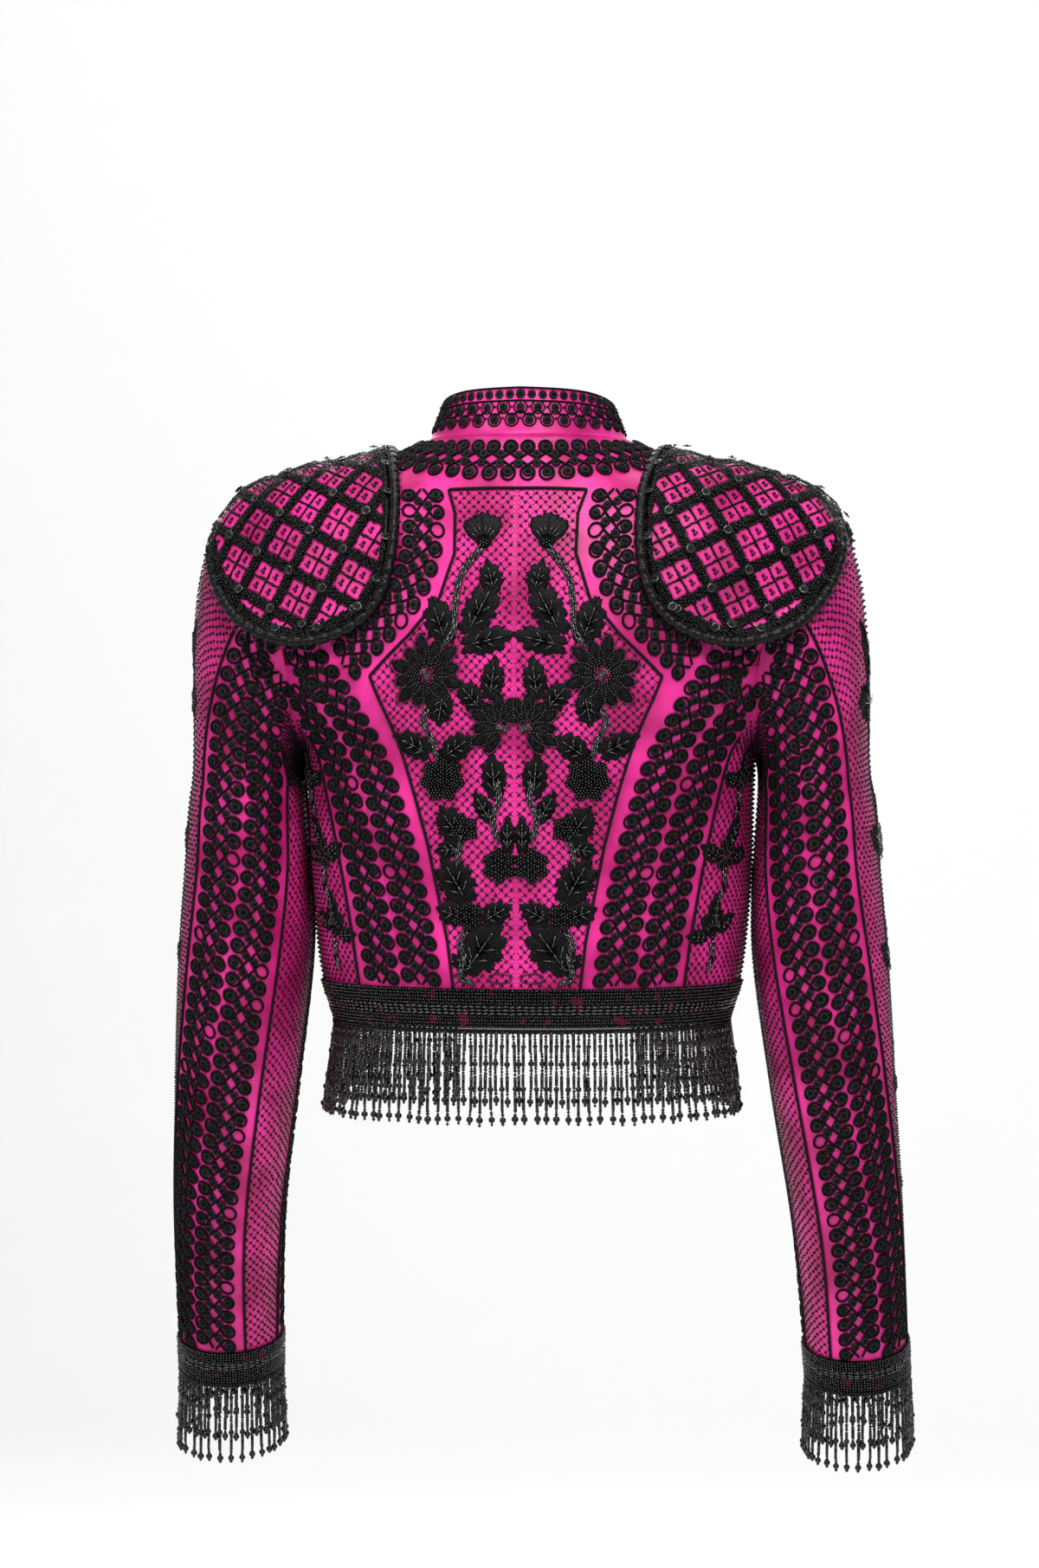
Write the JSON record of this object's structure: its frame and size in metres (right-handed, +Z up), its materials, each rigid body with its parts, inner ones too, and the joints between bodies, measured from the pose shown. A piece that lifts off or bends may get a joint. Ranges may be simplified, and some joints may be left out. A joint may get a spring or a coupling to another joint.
{
  "type": "embroidered matador jacket",
  "caption": "Cropped open-front satin jacket with stand collar, two-piece sleeves, padded epaulets, corded braid, beaded applique and bead fringe.",
  "frame": {"origin": "midway between the two side neck points, where the shoulder seams meet the collar", "axes": "+Z up the worn body, +Y out of the wearer's back, +X to the wearer's left; the sleeves hang down and a little forward"},
  "size_m": [0.5278, 0.2519, 0.7624],
  "materials": {
    "fuchsia_satin": "glossy fuchsia silk satin, mounted on a firm interlining",
    "jet_beads": "strung and couched black glass beads",
    "black_satin_cord": "black satin cord wound in barrels"
  },
  "bodies": {
    "root": {"back_centre_left": "fuchsia_satin", "back_centre_right": "fuchsia_satin", "back_side_left": "fuchsia_satin", "back_side_right": "fuchsia_satin", "front_left": "fuchsia_satin", "front_right": "fuchsia_satin", "sleeve_upper_left": "fuchsia_satin", "sleeve_upper_right": "fuchsia_satin", "sleeve_under_left": "fuchsia_satin", "sleeve_under_right": "fuchsia_satin", "collar": "fuchsia_satin", "epaulet_left": "fuchsia_satin", "epaulet_right": "fuchsia_satin", "hem_band": "jet_beads", "cuff_band_left": "jet_beads", "cuff_band_right": "jet_beads", "hem_fringe": "jet_beads", "cuff_fringe_left": "jet_beads", "cuff_fringe_right": "jet_beads", "epaulet_cord_left": "black_satin_cord", "epaulet_cord_right": "black_satin_cord"}
  },
  "joints": []
}
